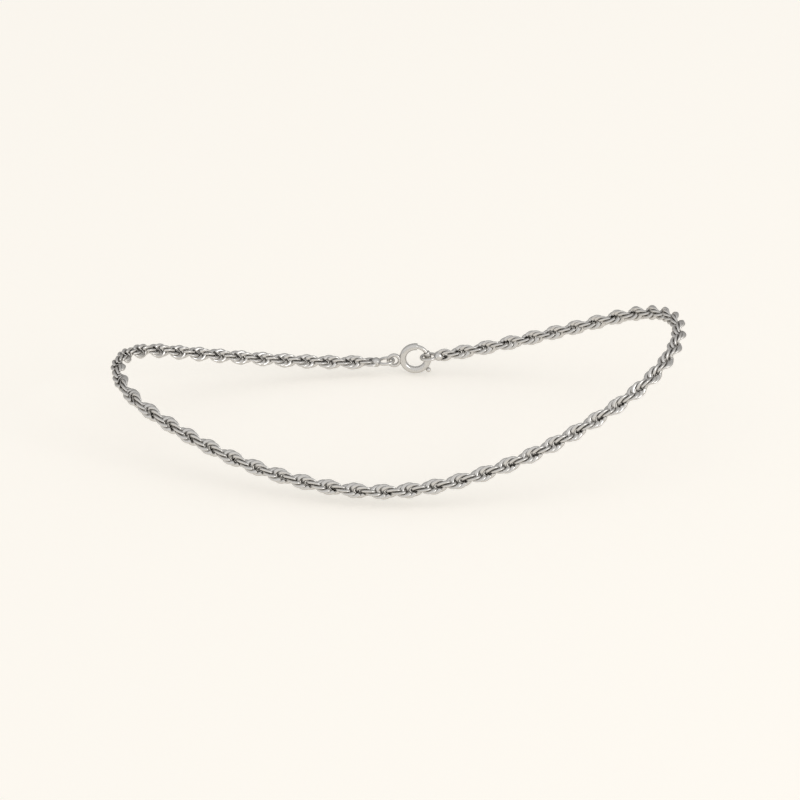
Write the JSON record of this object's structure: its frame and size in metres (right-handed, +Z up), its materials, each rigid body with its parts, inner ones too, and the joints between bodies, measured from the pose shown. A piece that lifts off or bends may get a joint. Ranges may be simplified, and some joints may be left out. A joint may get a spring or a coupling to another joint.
{
  "type": "rope chain anklet",
  "caption": "Fine polished silver rope chain anklet, closed in a loop as it is worn round an ankle, with small soldered end rings and a spring ring clasp on the hidden side.",
  "frame": {"origin": "middle of the opening that the ankle fills, where it is widest, at the mean height of the loop's heel and front ends", "axes": "+Z up along the leg, +X towards the toes, -Y towards the side of the ankle that shows"},
  "size_m": [0.1009, 0.0568, 0.0223],
  "materials": {
    "silver": "polished silver"
  },
  "bodies": {
    "root": {"rope_chain": "silver", "clasp": "silver"}
  },
  "joints": []
}
